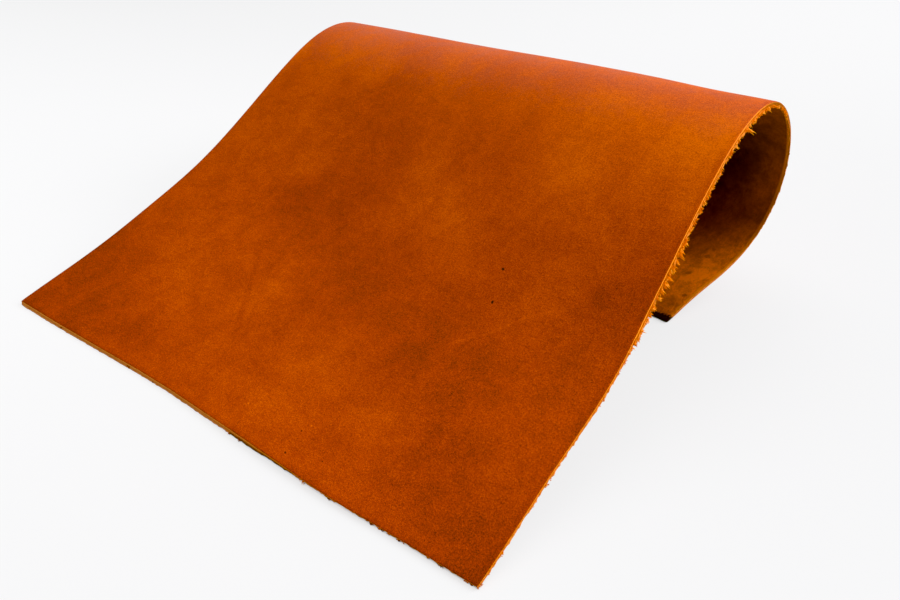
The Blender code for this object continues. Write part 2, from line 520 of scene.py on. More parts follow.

# %% [markdown]
# ## Where the dye went, and painted light and shade
#
# The panel was dyed by hand, and the hide drank unevenly: darker where it was dense, lighter where it
# was loose. The larger clouds are bells again, listed on the flat panel. On the grain side the lighter
# clouds over the fold are a painted highlight and a wide darker band before the fold is painted shade;
# on the flesh side the clouds are painted shade deep inside the loop and painted light near the open
# mouth. They are stored as one tone per vertex, from dark to light, and the materials turn that tone
# into colour.

# %% Clouds on the grain side with painted highlight and shade, and painted shade and light on the flesh side
# among these, the lighter clouds 200 to 250 mm along are painted highlight over the fold, and the wide darker
# band near 182 mm along is painted shade; the front corners are darker
GRAIN_CLOUDS_AND_PAINTED_LIGHT = np.array([
    # across, along, long radius, short radius (mm), turn (degrees), tone (below 0 is darker)
    (254, 230, 39, 32, 70, 0.31),
    (218, 215, 20, 12, 200, 0.29),
    (179, 223, 44, 32, 152, 0.24),
    (117, 218, 54, 13, 9, 0.13),
    (60, 216, 40, 22, 86, 0.33),
    (66, 177, 28, 21, 54, 0.35),
    (10, 203, 32, 19, -39, 0.46),
    (-2, 172, 10, 14, -3, 0.30),
    (143, 159, 45, 15, 186, 0.14),
    (114, 140, 16, 38, 140, 0.23),
    (48, 106, 42, 13, -39, 0.19),
    (251, 169, 69, 34, 104, 0.14),
    (216, 141, 14, 14, 127, 0.29),
    (174, 69, 20, 13, -1, 0.25),
    (119, 42, 53, 15, -13, 0.16),
    (73, 40, 13, 18, 170, 0.29),
    (230, 59, 30, 10, 50, 0.12),
    (305, 202, 70, 11, -3, 0.48),
    (210, 127, 16, 24, 107, -0.30),
    (175, 114, 48, 22, 1, -0.18),
    (120, 87, 38, 25, 65, -0.39),
    (81, 62, 34, 11, 3, -0.20),
    (58, 77, 37, 21, 17, -0.32),
    (12, 125, 28, 19, -59, -0.22),
    (3, 72, 41, 31, 78, -0.20),
    (205, 203, 35, 24, 70, -0.36),
    (290, 6, 27, 15, 158, -0.34),
    (257, 5, 25, 17, 145, -0.24),
    (217, 14, 20, 13, 94, -0.24),
    (286, 46, 44, 20, 62, -0.29),
    (274, 97, 66, 26, -57, -0.07),
    (-6, 1, 23, 12, 78, -0.22),
    (24, 15, 41, 13, 88, -0.18),
    (46, 36, 29, 14, 73, -0.14),
    (8, 10, 30, 40, 0, -0.10),
    (120, 150, 110, 80, 0, -0.07),
    (170, 182, 190, 34, 90, -0.07),
    (274, 200, 34, 30, 0, -0.04),
    (50, 250, 85, 13, 90, 0.16),
    (121, 92, 32, 20, 0, 0.08),
    (158, 112, 22, 18, 0, 0.06),
])
# painted shade and light on the flesh side: darker deep inside the loop, lighter on the under flap and the
# back near the open mouth
FLESH_PAINTED_SHADE_AND_LIGHT = np.array([
    (34, 316, 42, 22, 0, -0.28),
    (2, 320, 26, 7, 0, 0.16),
    (5, 392, 32, 40, 0, 0.55),
    (2, 405, 9, 12, 0, -0.09),
    (4, 366, 16, 12, 0, 0.10),
    (12, 296, 14, 14, 0, -0.05),
    (9, 330, 12, 7, 0, 0.06),
])
# the flesh's base tone is darker than the suede's own colour, partly as painted shade for the inside of the
# loop
FLESH_TONE = 0.32
GRAIN_TONE = 0.5
tone = np.where(
    flats[:, 2] > THICKNESS / 2,
    FLESH_TONE + bells(FLESH_PAINTED_SHADE_AND_LIGHT, flats[:, 0], flats[:, 1]),
    GRAIN_TONE + bells(GRAIN_CLOUDS_AND_PAINTED_LIGHT, flats[:, 0], flats[:, 1]),
)
new_attribute(leather, "tone", "FLOAT", tone)
print(f"tone from {tone.min():.2f} to {tone.max():.2f}")

# %% [markdown]
# ## Loose fibres
#
# Where the knife dragged through the flesh side, small shreds and single hairs of collagen stand out
# of the cut. They grow in tufts. Each fibre is a thin tapered tube of three sides on a curved line:
# root + length·(q·direction + ½·q²·bend), with q going from 0 at the root to 1 at the tip. A particle
# system would do the same, but these few thousand tubes are real geometry and can leave Blender.

# %% Directions at the edge
NUDGE = 0.0002
CORNERS = [0, PANEL_LENGTH, PANEL_LENGTH + PANEL_WIDTH, PERIMETER - PANEL_WIDTH, PERIMETER]


def unit(vectors):
    """Each vector divided by its own length."""
    return vectors / np.linalg.norm(vectors, axis=-1, keepdims=True)


def edge_frame(position, inset, depth):
    """Places on the edge, with the directions outwards, through the leather and along the edge.

    A direction is the step to a place one NUDGE further on, divided by its own length.
    """
    u = np.interp(position, CORNERS, [0, 0, 1, 1, 0])
    v = np.interp(position, CORNERS, [0, 1, 1, 0, 0])
    across, along = flat_place(u, v, inset)
    inner_across, inner_along = flat_place(u, v, inset + NUDGE)
    at = place(across, along, depth, on_table=False)
    out = unit(at - place(inner_across, inner_along, depth, on_table=False))
    through = unit(place(across, along, depth + NUDGE, on_table=False) - at)
    sideways = unit(np.cross(through, out))
    return at, out, through, sideways


# %% The shape of a fibre
FIBRE_SIDES = 3
FIBRE_STATIONS = (0.0, 0.3, 0.6, 0.85, 1.0)


def fibre_tubes(root, direction, bend, length, width, flatness, twist):
    """Points and faces of many thin tubes, whose radius is width·(1 - 0.94·q^1.7)."""
    q = np.array(FIBRE_STATIONS)
    count, stations = len(root), len(q)
    qs = q[None, :, None]
    course = qs * direction[:, None] + 0.5 * qs ** 2 * bend[:, None]
    line = root[:, None] + length[:, None, None] * course
    forward = unit(direction[:, None] + qs * bend[:, None])
    side = unit(np.cross(forward, twist[:, None]))
    over = np.cross(forward, side)
    size = (width[:, None] * (1.0 - 0.94 * q[None] ** 1.7))[..., None]
    ring = []
    for corner in range(FIBRE_SIDES):
        turn = 2 * math.pi * corner / FIBRE_SIDES
        ring.append(line + size * (math.cos(turn) * side + math.sin(turn) * flatness[:, None, None] * over))
    tube = np.stack(ring, axis=2)
    number = np.arange(count * stations * FIBRE_SIDES).reshape(count, stations, FIBRE_SIDES)
    following = np.roll(number, -1, axis=2)
    quads = np.stack([number[:, :-1], following[:, :-1], following[:, 1:], number[:, 1:]], axis=-1)
    caps = np.concatenate([number[:, 0, ::-1], number[:, -1]])
    return tube, quads.reshape(-1, 4).tolist() + caps.tolist()


# %% Tufts placed one by one
PLACED_TUFTS = np.array([
    # position round the outline (mm), length of the longest fibre (mm), tone (0 dark, 1 pale)
    (122.4, 2.0, 0.6),    # shreds of the fringe
    (126.0, 2.0, 0.7),
    (130.0, 2.6, 0.8),
    (133.5, 2.4, 0.6),
    (137.2, 3.2, 0.8),
    (139.5, 3.4, 0.6),
    (143.0, 2.4, 0.8),
    (147.0, 2.8, 0.7),
    (150.2, 3.2, 0.7),
    (155.5, 2.0, 0.8),
    (206.0, 1.8, 0.9),
    (217.5, 3.9, 0.9),    # the largest shred, near the mouth
    (240.0, 2.6, 0.9),
    (1175.6, 1.3, 0.1),   # mostly dark crumbs on the front end
    (1230.8, 1.3, 0.1),
    (1249.8, 1.3, 0.1),
    (1305.0, 1.7, 0.3),
    (1312.0, 1.2, 0.2),
    (1350.6, 1.2, 0.6),
    (1364.6, 0.9, 0.0),
    (1386.0, 1.0, 0.0),
    (1391.0, 0.8, 0.0),
    (1399.0, 0.8, 0.0),
    (1418.4, 1.1, 0.0),
    (1431.5, 1.2, 0.0),
])

# %% All tufts: where they grow, how long and how pale they are, and which way they lean
SHORTEST_TUFT = 0.0003
LONGER_BY = 0.0013      # at most, where the raggedness is 1
HONEY_TONE = 0.35       # tone of a tuft where the cut isn't ragged
TUFT_LEAN = 0.55
PLACED_SPREAD = 0.4     # how far the fibres of a placed tuft fan out, where others have 1
random = np.random.default_rng(5)
stations = np.arange(0.0, PERIMETER, 0.001)
so_far = np.cumsum(cut_course(stations, TUFTS)) / 10    # tufts up to each millimetre
tufts = round(so_far[-1])
placed = len(PLACED_TUFTS)
tuft_position = np.interp(random.uniform(0, so_far[-1], tufts), so_far, stations)
ragged = cut_course(tuft_position, RAGGED)
tuft_length = SHORTEST_TUFT + LONGER_BY * random.random(tufts) ** 1.5 * ragged ** 1.5
tuft_position = np.concatenate([PLACED_TUFTS[:, 0] / 1000, tuft_position])
tuft_length = np.concatenate([PLACED_TUFTS[:, 1] / 1000, tuft_length])
tuft_lean = random.normal(0, TUFT_LEAN, (placed + tufts, 3))
tuft_lean[:placed] = 0.0
tuft_spread = np.where(np.arange(placed + tufts) < placed, PLACED_SPREAD, 1.0)
ragged = np.clip(cut_course(tuft_position, RAGGED), 0.0, 1.0)
tuft_tone = HONEY_TONE + (1.0 - HONEY_TONE) * random.random(placed + tufts) * ragged
tuft_tone[:placed] = PLACED_TUFTS[:, 2]
print(len(tuft_position), "tufts")

# %% The fibres of every tuft: roots and courses, all lengths in metres
FIBRES_IN_TUFT = 8
ROOT_SCATTER = 0.00032
ROOT_DEPTHS = (0.0014, 0.0027)
ROOT_INSETS = (-0.0002, 0.0004)
RAGGED_OUT = 0.0002       # roots stand this much further out where the raggedness is 1


def per_fibre(values):
    """Repeats each tuft's value for all its fibres."""
    return np.repeat(values, FIBRES_IN_TUFT, axis=0)


count = len(tuft_position) * FIBRES_IN_TUFT
position = per_fibre(tuft_position) + random.normal(0, ROOT_SCATTER, count)
position = position % PERIMETER
depth = random.uniform(*ROOT_DEPTHS, count)
inset = random.uniform(*ROOT_INSETS, count) - RAGGED_OUT * cut_course(position, RAGGED)
root, out, through, sideways = edge_frame(position, inset, depth)
spread = per_fibre(tuft_spread)[:, None]
lean = per_fibre(tuft_lean) + spread * random.normal(0, 0.25, (count, 3))
direction = (0.80 + 0.3 * lean[:, :1]) * out + (0.50 + 0.5 * lean[:, 1:2]) * through
direction = unit(direction + 0.9 * lean[:, 2:] * sideways)
bend = spread * (random.normal(0, 0.45, (count, 3)) + 0.25 * through)
length = per_fibre(tuft_length) * random.uniform(0.4, 1.0, count)
print("longest fibre", round(length.max() * 1000, 1), "mm")

# %% Grow them: most are flat shreds, the others single hairs
SHRED_RADII = (0.00018, 0.00042)
HAIR_RADII = (0.00005, 0.00011)
SHRED_SHARE = 0.75
PLACED_WIDER = 1.35
shred = random.uniform(*SHRED_RADII, count)
single = random.uniform(*HAIR_RADII, count)
width = np.where(random.random(count) < SHRED_SHARE, shred, single)
width = width * np.where(spread[:, 0] < 1.0, PLACED_WIDER, 1.0)
flatness = random.uniform(0.35, 0.8, count)
twist = unit(random.normal(0, 1, (count, 3)))
tubes, tube_faces = fibre_tubes(root, direction, bend, length, width, flatness, twist)
lowest = tubes[..., 2].min(axis=(1, 2))
tubes[..., 2] -= np.minimum(lowest, 0.0)[:, None, None]
fibres = new_piece("edge_fibres", tubes, tube_faces)
fibre_tone = np.clip(per_fibre(tuft_tone) + random.uniform(-0.2, 0.2, count), 0.0, 1.0)
new_attribute(fibres, "tone", "FLOAT", np.repeat(fibre_tone, len(FIBRE_STATIONS) * FIBRE_SIDES))
fibres.data.calc_loop_triangles()
print("fibres:", count, "with", len(fibres.data.loop_triangles), "triangles")

# %% [markdown]
# ## Small helpers for materials
#
# A material is a graph of nodes. These helpers add one node, fill its inputs and link it, so that each
# recipe below reads from top to bottom. A node group is a graph with named inputs and outputs that can
# be placed in several materials, each time with other values.

# %% Node helpers
def add(tree, kind, inputs=None, **settings):
    """One node with its settings; each input is given a value or linked to another node's output."""
    made = tree.nodes.new(kind)
    for name, value in settings.items():
        setattr(made, name, value)
    for name, value in (inputs or {}).items():
        socket = made.inputs[name]
        if isinstance(value, bpy.types.NodeSocket):
            tree.links.new(value, socket)
        else:
            socket.default_value = value
    return made


def calculate(tree, operation, a, b=0.0, c=0.0, clamp=False):
    """The result of one Math node."""
    return add(tree, "ShaderNodeMath", {0: a, 1: b, 2: c}, operation=operation, use_clamp=clamp).outputs[0]


def remap(tree, value, low, high, to_low=0.0, to_high=1.0, smooth=True):
    """Carries low..high to to_low..to_high, clamped, along an S-curve or a straight line."""
    kind = "SMOOTHSTEP" if smooth else "LINEAR"
    inputs = {"Value": value, "From Min": low, "From Max": high, "To Min": to_low, "To Max": to_high}
    return add(tree, "ShaderNodeMapRange", inputs, interpolation_type=kind).outputs["Result"]


def blend_colours(tree, factor, a, b):
    """Mixes colour a into colour b by the factor."""
    return add(tree, "ShaderNodeMix", {0: factor, 6: a, 7: b}, data_type="RGBA").outputs[2]


def stored(tree, name, output="Fac"):
    """Reads one of the values or vectors that new_attribute stored for each vertex."""
    return add(tree, "ShaderNodeAttribute", attribute_name=name).outputs[output]


def vector(tree, operation, inputs, output=0):
    """The result of one Vector Math node."""
    return add(tree, "ShaderNodeVectorMath", inputs, operation=operation).outputs[output]


def relief(tree, shader, height, distance):
    """A Bump node that feeds the shader's normal; distance is the relief's depth in metres."""
    bump = add(tree, "ShaderNodeBump", {"Height": height, "Distance": distance, "Strength": 1.0})
    tree.links.new(bump.outputs[0], shader.inputs["Normal"])


# %% Helpers for groups and whole materials
def new_group(name, inputs, outputs):
    """An empty node group with named sockets; returns its graph, its inputs and its output node."""
    group = bpy.data.node_groups.new(name, "ShaderNodeTree")
    for socket, (kind, default) in inputs.items():
        made = group.interface.new_socket(socket, in_out="INPUT", socket_type=kind)
        if default is not None:
            made.default_value = default
    for socket, kind in outputs.items():
        group.interface.new_socket(socket, in_out="OUTPUT", socket_type=kind)
    return group, group.nodes.new("NodeGroupInput").outputs, group.nodes.new("NodeGroupOutput")


def place_group(tree, group, inputs):
    """Puts a group into a material and gives back its outputs."""
    return add(tree, "ShaderNodeGroup", inputs, node_tree=group).outputs


def place_over(tree, given, size):
    """A group's input Place divided by its input called `size`, so that patterns grow with the size."""
    return vector(tree, "SCALE", {0: given["Place"], "Scale": calculate(tree, "DIVIDE", 1.0, given[size])})


def new_material(name, **constants):
    """A Principled material; every value that is the same all over is set on the shader itself."""
    material = bpy.data.materials.new(name)
    material.use_nodes = True
    shader = material.node_tree.nodes["Principled BSDF"]
    for socket, value in constants.items():
        shader.inputs[socket.replace("_", " ").title().replace("Ior", "IOR")].default_value = value
    return material, material.node_tree, shader


# %% [markdown]
# ## Group: clouds
#
# Dye and wax sink in unevenly, so leather is clouded at every scale. One group makes soft clouds of a
# chosen size from layered noise, read on the flat measures of the panel. Noise seldom leaves the range
# from 0.28 to 0.72, so that range is stretched to 0..1. The grain side, the flesh side and the cut edge
# all use the group, each at its own size.

# %% Build the clouds group
CLOUDS, given, result = new_group(
    "soft clouds",
    {
        "Place": ("NodeSocketVector", None),
        "Size": ("NodeSocketFloat", 0.03),
        "Detail": ("NodeSocketFloat", 3.0),
    },
    {"Cloud": "NodeSocketFloat"},
)
noise = add(CLOUDS, "ShaderNodeTexNoise", {
    "Vector": place_over(CLOUDS, given, "Size"),
    "Scale": 1.0,
    "Detail": given["Detail"],
    "Roughness": 0.55,
    "Distortion": 0.4,
})
CLOUDS.links.new(remap(CLOUDS, noise.outputs[0], 0.28, 0.72), result.inputs["Cloud"])
print("group:", CLOUDS.name)

# %% [markdown]
# ## Group: pores
#
# Seen close, the grain side is speckled: grains of dye a third of a millimetre to a millimetre wide, and
# soft mottling of a few millimetres. Here and there the hair follicles show as dark dots. The relief
# adds fine pebbles, the cells of a Voronoi pattern, with creases where the cells meet. Every scale
# below counts in grains, so a scale of 3 is a third of one grain wide.

# %% Build the pores group
PORES, given, result = new_group(
    "leather pores",
    {"Place": ("NodeSocketVector", None), "Grain": ("NodeSocketFloat", 0.0009)},
    {name: "NodeSocketFloat" for name in ("Height", "Speckle", "Mottle", "Dots")},
)
grains = place_over(PORES, given, "Grain")


def speckles(scale, detail, low, high):
    """One layer of noise at its own scale, stretched so that low..high becomes 0..1."""
    inputs = {"Vector": grains, "Scale": scale, "Detail": detail, "Roughness": 0.6}
    noise = add(PORES, "ShaderNodeTexNoise", inputs).outputs[0]
    return remap(PORES, noise, low, high, smooth=False)


coarse = calculate(PORES, "MULTIPLY", speckles(1.0, 2.0, 0.30, 0.70), 0.28)
speckle = calculate(PORES, "MULTIPLY_ADD", speckles(3.0, 2.0, 0.28, 0.72), 0.72, coarse)
mottle = speckles(0.30, 3.0, 0.30, 0.70)
patches = speckles(0.06, 2.0, 0.42, 0.62)
follicles = add(PORES, "ShaderNodeTexVoronoi", {"Vector": grains, "Scale": 0.55, "Randomness": 1.0})
dots = remap(PORES, follicles.outputs["Distance"], 0.11, 0.22, 1.0, 0.0)
dots = calculate(PORES, "MULTIPLY", dots, patches)
cells = add(PORES, "ShaderNodeTexVoronoi", {"Vector": grains, "Scale": 2.2}, feature="DISTANCE_TO_EDGE")
pebble = remap(PORES, cells.outputs["Distance"], 0.0, 0.20)
height = calculate(PORES, "MULTIPLY", speckle, 0.9)
height = calculate(PORES, "ADD", height, calculate(PORES, "MULTIPLY", pebble, 0.35))
height = calculate(PORES, "SUBTRACT", height, calculate(PORES, "MULTIPLY", dots, 0.8))
for name, value in (("Height", height), ("Speckle", speckle), ("Mottle", mottle), ("Dots", dots)):
    PORES.links.new(value, result.inputs[name])
print("group:", PORES.name)

# %% [markdown]
# ## Group: a mark
#
# Nicks, specks, scratches and creases are all short lines with a soft border. For a place P and a line
# from A to B, the nearest point of the line is A + t·(B - A), with t = (P - A)·(B - A) / |B - A|²
# held between 0 and 1. The mark is 1 near the line and fades from the share `Core` of its width to
# nothing at `Width`. Noise multiplies the distance by 0.75 to 1.25, which makes the border uneven.

# %% Build the mark group
MARK, given, result = new_group(
    "mark",
    {
        "Place": ("NodeSocketVector", None),
        "From": ("NodeSocketVector", None),
        "To": ("NodeSocketVector", None),
        "Width": ("NodeSocketFloat", 0.001),
        "Core": ("NodeSocketFloat", 0.35),
    },
    {"Mark": "NodeSocketFloat"},
)
reach = vector(MARK, "SUBTRACT", {0: given["Place"], 1: given["From"]})
line = vector(MARK, "SUBTRACT", {0: given["To"], 1: given["From"]})
on_line = vector(MARK, "DOT_PRODUCT", {0: reach, 1: line}, "Value")
squared = vector(MARK, "DOT_PRODUCT", {0: line, 1: line}, "Value")
along_line = calculate(MARK, "DIVIDE", on_line, squared, clamp=True)
nearest = vector(MARK, "SCALE", {0: line, "Scale": along_line})
gap = vector(MARK, "DISTANCE", {0: reach, 1: nearest}, "Value")
gap = calculate(MARK, "DIVIDE", gap, given["Width"])
uneven = add(MARK, "ShaderNodeTexNoise", {"Vector": given["Place"], "Scale": 900.0, "Detail": 2.0}).outputs[0]
gap = calculate(MARK, "MULTIPLY", gap, calculate(MARK, "MULTIPLY_ADD", uneven, 0.5, 0.75))
MARK.links.new(remap(MARK, gap, given["Core"], 1.0, 1.0, 0.0), result.inputs["Mark"])
print("group:", MARK.name)


def add_marks(tree, flat, tone, marks, depth, core=0.35):
    """Adds each listed mark to the tone: tone + amount · mark."""
    for from_across, from_along, to_across, to_along, wide, amount in marks:
        mark = place_group(tree, MARK, {
            "Place": flat,
            "From": (from_across / 1000, from_along / 1000, depth),
            "To": (to_across / 1000, to_along / 1000, depth),
            "Width": wide / 1000,
            "Core": core,
        })
        tone = calculate(tree, "MULTIPLY_ADD", mark["Mark"], amount, tone)
    return tone


# %% [markdown]
# ## Group: matted fibres
#
# The flesh side and the cut edge both show the collagen fibres of the hide, matted in every direction.
# Two noises, each stretched in its own direction, cross each other and leave light ridges, with dark
# gaps where both are low.

# %% Build the fibres group
MATTED, given, result = new_group(
    "matted fibres",
    {"Place": ("NodeSocketVector", None), "Size": ("NodeSocketFloat", 0.0012)},
    {"Height": "NodeSocketFloat", "Gap": "NodeSocketFloat"},
)
scaled = place_over(MATTED, given, "Size")
layers = []
for turn, stretch in ((0.5, 0.28), (-0.8, 0.35)):
    laid = add(MATTED, "ShaderNodeMapping", {
        "Vector": scaled,
        "Rotation": (0.3, 0.2, turn),
        "Scale": (1.0, stretch, 1.0),
    })
    noise = add(MATTED, "ShaderNodeTexNoise", {
        "Vector": laid.outputs[0],
        "Scale": 1.2,
        "Detail": 4.0,
        "Roughness": 0.7,
        "Distortion": 0.8,
    })
    layers.append(noise.outputs[0])
ridges = calculate(MATTED, "MAXIMUM", *layers)
MATTED.links.new(remap(MATTED, ridges, 0.35, 0.75), result.inputs["Height"])
MATTED.links.new(remap(MATTED, ridges, 0.42, 0.52, 1.0, 0.0), result.inputs["Gap"])
print("group:", MATTED.name)

# %% [markdown]
# ## The grain side
#
# Cognac-coloured veg-tan: a deep orange-brown with darker and lighter clouds, a satin wax finish and a
# dark line where dye pooled along the cut. Everything that makes it darker or lighter is added up to one
# tone, and a ramp of three colours turns the tone into colour. The surface reflects little when looked
# at squarely, and more at a shallow angle over the fold, which is what the low specular level gives. The
# reflection is tinted, because the light passes twice through the dyed wax.

# %% Marks on the grain side
GRAIN_MARKS = [
    # from (across, along), to (across, along), width (mm), tone
    (69.1, 121.3, 69.4, 121.4, 0.80, -1.30),    # dark specks
    (64.8, 104.9, 65.0, 105.5, 0.72, -1.25),
    (97.5, 5.0, 97.8, 5.2, 0.55, -1.00),
    (99.0, 16.0, 99.2, 16.2, 0.55, -0.90),
    (81.0, 10.0, 81.2, 10.1, 0.50, -0.80),
    (19.0, 121.0, 22.0, 124.0, 5.0, -0.14),    # soft dark blot
    (131.0, 14.0, 131.2, 14.1, 0.5, 0.70),     # pale specks
    (97.0, 20.0, 97.2, 20.1, 0.5, 0.70),
    # the two creases have no relief of their own; their darker lines are painted shade
    (200.0, 85.0, 170.0, 40.0, 2.2, -0.09),    # two faint creases side by side
    (185.0, 80.0, 168.0, 46.0, 1.8, -0.08),
    (70.3, 79.8, 56.5, 92.0, 1.0, 0.14),       # pale curved scratch
    (56.5, 92.0, 47.5, 103.0, 1.0, 0.14),
    (47.5, 103.0, 36.0, 111.0, 1.0, 0.10),
]

# %% Material of the grain side
GRAIN_RAMP = [
    # tone, colour
    (-0.60, (0.022, 0.001, 0.001, 1)),
    (0.50, (0.462, 0.043, 0.002, 1)),
    (1.33, (0.810, 0.154, 0.003, 1)),
]
WAX_TINT = (1.0, 0.50, 0.02, 1)
DYE_LINE = (0.0004, 0.0040)    # the line along the cut fades between these distances from it
grain, tree, shader = new_material("grain_side", specular_ior_level=0.34, specular_tint=WAX_TINT)
flat = stored(tree, "flat", "Vector")
small = place_group(tree, CLOUDS, {"Place": flat, "Size": 0.012, "Detail": 4.0})["Cloud"]
pores = place_group(tree, PORES, {"Place": flat, "Grain": 0.0009})
tone = add_marks(tree, flat, stored(tree, "tone"), GRAIN_MARKS, 0.0)
for value, amount in ((small, 0.22), (pores["Speckle"], 1.85), (pores["Mottle"], 0.24)):
    tone = calculate(tree, "MULTIPLY_ADD", calculate(tree, "SUBTRACT", value, 0.5), amount, tone)
tone = calculate(tree, "MULTIPLY_ADD", pores["Dots"], -0.45, tone)
dye_line = remap(tree, stored(tree, "from_edge"), *DYE_LINE, 1.0, 0.0)
tone = calculate(tree, "MULTIPLY_ADD", dye_line, -0.15, tone)
colour = GRAIN_RAMP[0][1]
for (low, _), (high, lighter) in zip(GRAIN_RAMP, GRAIN_RAMP[1:]):
    colour = blend_colours(tree, remap(tree, tone, low, high, smooth=False), colour, lighter)
tree.links.new(colour, shader.inputs["Base Color"])
tree.links.new(remap(tree, small, 0.0, 1.0, 0.50, 0.60), shader.inputs["Roughness"])
relief(tree, shader, pores["Height"], 0.00005)
print("material:", grain.name)

# %% [markdown]
# ## The cut edge
#
# The dye never reached the middle of the hide, so the cut is the lightest part. The tight grain layer
# makes a smooth bright line, below it the cut is browner and full of tiny holes, and the torn flesh
# side is bright and fibrous again. The depth below the grain side decides which of these is seen.
# Over the fold and down the back the cut is painted browner, as painted shade. The front end's cut is
# painted paler, most on its left, as painted light from the table, carries a painted shadow under its
# lifted bow and is darker along its foot near the right corner. One corner of the under end is painted
# black, as painted shade where the end faces into the loop. The whole cut glows faintly in its own colour:
# painted light, standing for the light that passes through the torn fibres.

# %% Colours of the cut edge, its painted shade as marks, and where along the panel painted shade browns it (metres)
CUT = {
    "browner": (0.84, 0.170, 0.005, 1),
    "lighter": (0.98, 0.240, 0.012, 1),
    "hole": (0.30, 0.060, 0.003, 1),
    "grain layer": (1.00, 0.300, 0.030, 1),
    "fibre shade": (0.80, 0.170, 0.010, 1),
    "fibre light": (1.00, 0.400, 0.085, 1),
    "seam": (0.42, 0.085, 0.003, 1),
    "shaded brown": (0.30, 0.090, 0.006, 1),
    "front": (1.00, 0.36, 0.09, 1),
    "black shade": (0.030, 0.008, 0.001, 1),
}
# painted shade: the under end's right corner is painted black where its end faces into the shaded loop
UNDER_END_PAINTED_SHADE = (-2.0, 421.5, 16.0, 424.5, 6.4, 1.0)
# a painted shadow on the front cut's lower half under the lifted bow, and a darker foot near the right corner
FRONT_CUT_SHADOW_AND_DARKENING = [(90.0, 0.0, 128.0, 0.0, 1.3, 0.75), (0.0, 0.0, 55.0, 0.0, 2.2, 0.3)]
# over the fold and down the back the cut is painted browner between these places, as painted shade
BROWNS_FROM = (0.225, 0.250)
BROWN_FADES = (0.290, 0.340, 0.80, 0.20)    # from the first to the second, 0.80 falls to 0.20

# %% Material of the cut edge: its layers, by depth
# the faint emission is painted light: the cut glows in its own colour for the light that passes through its
# fibres
edge, tree, shader = new_material("cut_edge", specular_ior_level=0.05, roughness=0.8, emission_strength=0.07)
flat = stored(tree, "flat", "Vector")
across, along, depth_down = add(tree, "ShaderNodeSeparateXYZ", {0: flat}).outputs
fibre = place_group(tree, MATTED, {"Place": flat, "Size": 0.0009})
patch = place_group(tree, CLOUDS, {"Place": flat, "Size": 0.004, "Detail": 3.0})["Cloud"]
colour = blend_colours(tree, patch, CUT["browner"], CUT["lighter"])
holes = calculate(tree, "MULTIPLY", fibre["Gap"], 0.75)
colour = blend_colours(tree, holes, colour, CUT["hole"])
top_line = remap(tree, depth_down, 0.00040, 0.00095, 1.0, 0.0)
colour = blend_colours(tree, top_line, colour, CUT["grain layer"])
fibrous = blend_colours(tree, fibre["Height"], CUT["fibre shade"], CUT["fibre light"])
torn_line = remap(tree, depth_down, 0.00115, 0.00190)
colour = blend_colours(tree, torn_line, colour, fibrous)
seam = remap(tree, depth_down, 0.0012, 0.0016, 0.6, 0.0)
seam = calculate(tree, "MULTIPLY", remap(tree, depth_down, 0.0007, 0.0010), seam)
colour = blend_colours(tree, seam, colour, CUT["seam"])

# %% What changes on the way round, and the painted shade and painted light
painted_shade_brown = remap(tree, along, *BROWNS_FROM)
painted_shade_brown = calculate(tree, "MULTIPLY", painted_shade_brown, remap(tree, along, *BROWN_FADES))
colour = blend_colours(tree, painted_shade_brown, colour, CUT["shaded brown"])
# the front end's cut is painted paler, most on its left, as painted light from the table
at_front = remap(tree, along, 0.002, 0.006, 1.0, 0.0)
painted_front_light = calculate(tree, "MULTIPLY", at_front, remap(tree, across, 0.08, 0.16, 0.2, 0.7))
colour = blend_colours(tree, painted_front_light, colour, CUT["front"])
shade_and_dark_marks = add_marks(tree, flat, 0.0, [UNDER_END_PAINTED_SHADE], 0.0, core=0.8)
shade_and_dark_marks = add_marks(tree, flat, shade_and_dark_marks, FRONT_CUT_SHADOW_AND_DARKENING, THICKNESS, core=0.6)
colour = blend_colours(tree, shade_and_dark_marks, colour, CUT["black shade"])
tree.links.new(colour, shader.inputs["Base Color"])
tree.links.new(colour, shader.inputs["Emission Color"])
relief(tree, shader, fibre["Height"], 0.00030)
print("material:", edge.name)

# %% [markdown]
# ## The flesh side
#
# The inside of the loop is suede: short fibres that scatter light and hide all gloss. It is a golden
# brown with darker blots where the hide was greasy, and it is lightest next to the cut. Its tone is
# painted darker deep inside the loop, as painted shade, and lighter on the under flap and the back near
# the open mouth, as painted light. Sheen on the shader stands for the light that the fibre tips catch at
# a shallow angle.

# %% Marks on the flesh side
FLESH_MARKS = [
    # from (across, along), to (across, along), width (mm), tone
    (12.5, 372.6, 12.9, 373.1, 1.6, -0.30),
    (12.2, 387.6, 12.6, 388.1, 1.8, -0.35),
    (3.0, 402.0, 3.4, 402.5, 1.4, -0.35),
    (0.0, 368.7, 0.4, 369.2, 2.0, -0.22),
    (8.9, 398.1, 9.3, 398.6, 1.2, -0.20),
    (17.0, 312.0, 18.0, 316.0, 9.0, -0.05),
]

# %% Material of the flesh side
FLESH = {
    "dark": (0.020, 0.009, 0.0005, 1),
    "light": (0.880, 0.188, 0.005, 1),
    "at the cut": (0.90, 0.260, 0.025, 1),
    "black shade": (0.020, 0.005, 0.001, 1),
}
NAP_TINT = (0.9, 0.30, 0.02, 1)
suede, tree, shader = new_material(
    "flesh_side", specular_ior_level=0.1, roughness=0.95,
    sheen_weight=0.06, sheen_roughness=0.5, sheen_tint=NAP_TINT,
)
flat = stored(tree, "flat", "Vector")
fibre = place_group(tree, MATTED, {"Place": flat, "Size": 0.0011})
blots = place_group(tree, CLOUDS, {"Place": flat, "Size": 0.0016, "Detail": 3.0})["Cloud"]
mottle = place_group(tree, CLOUDS, {"Place": flat, "Size": 0.0060, "Detail": 5.0})["Cloud"]
tone = add_marks(tree, flat, stored(tree, "tone"), FLESH_MARKS, THICKNESS)
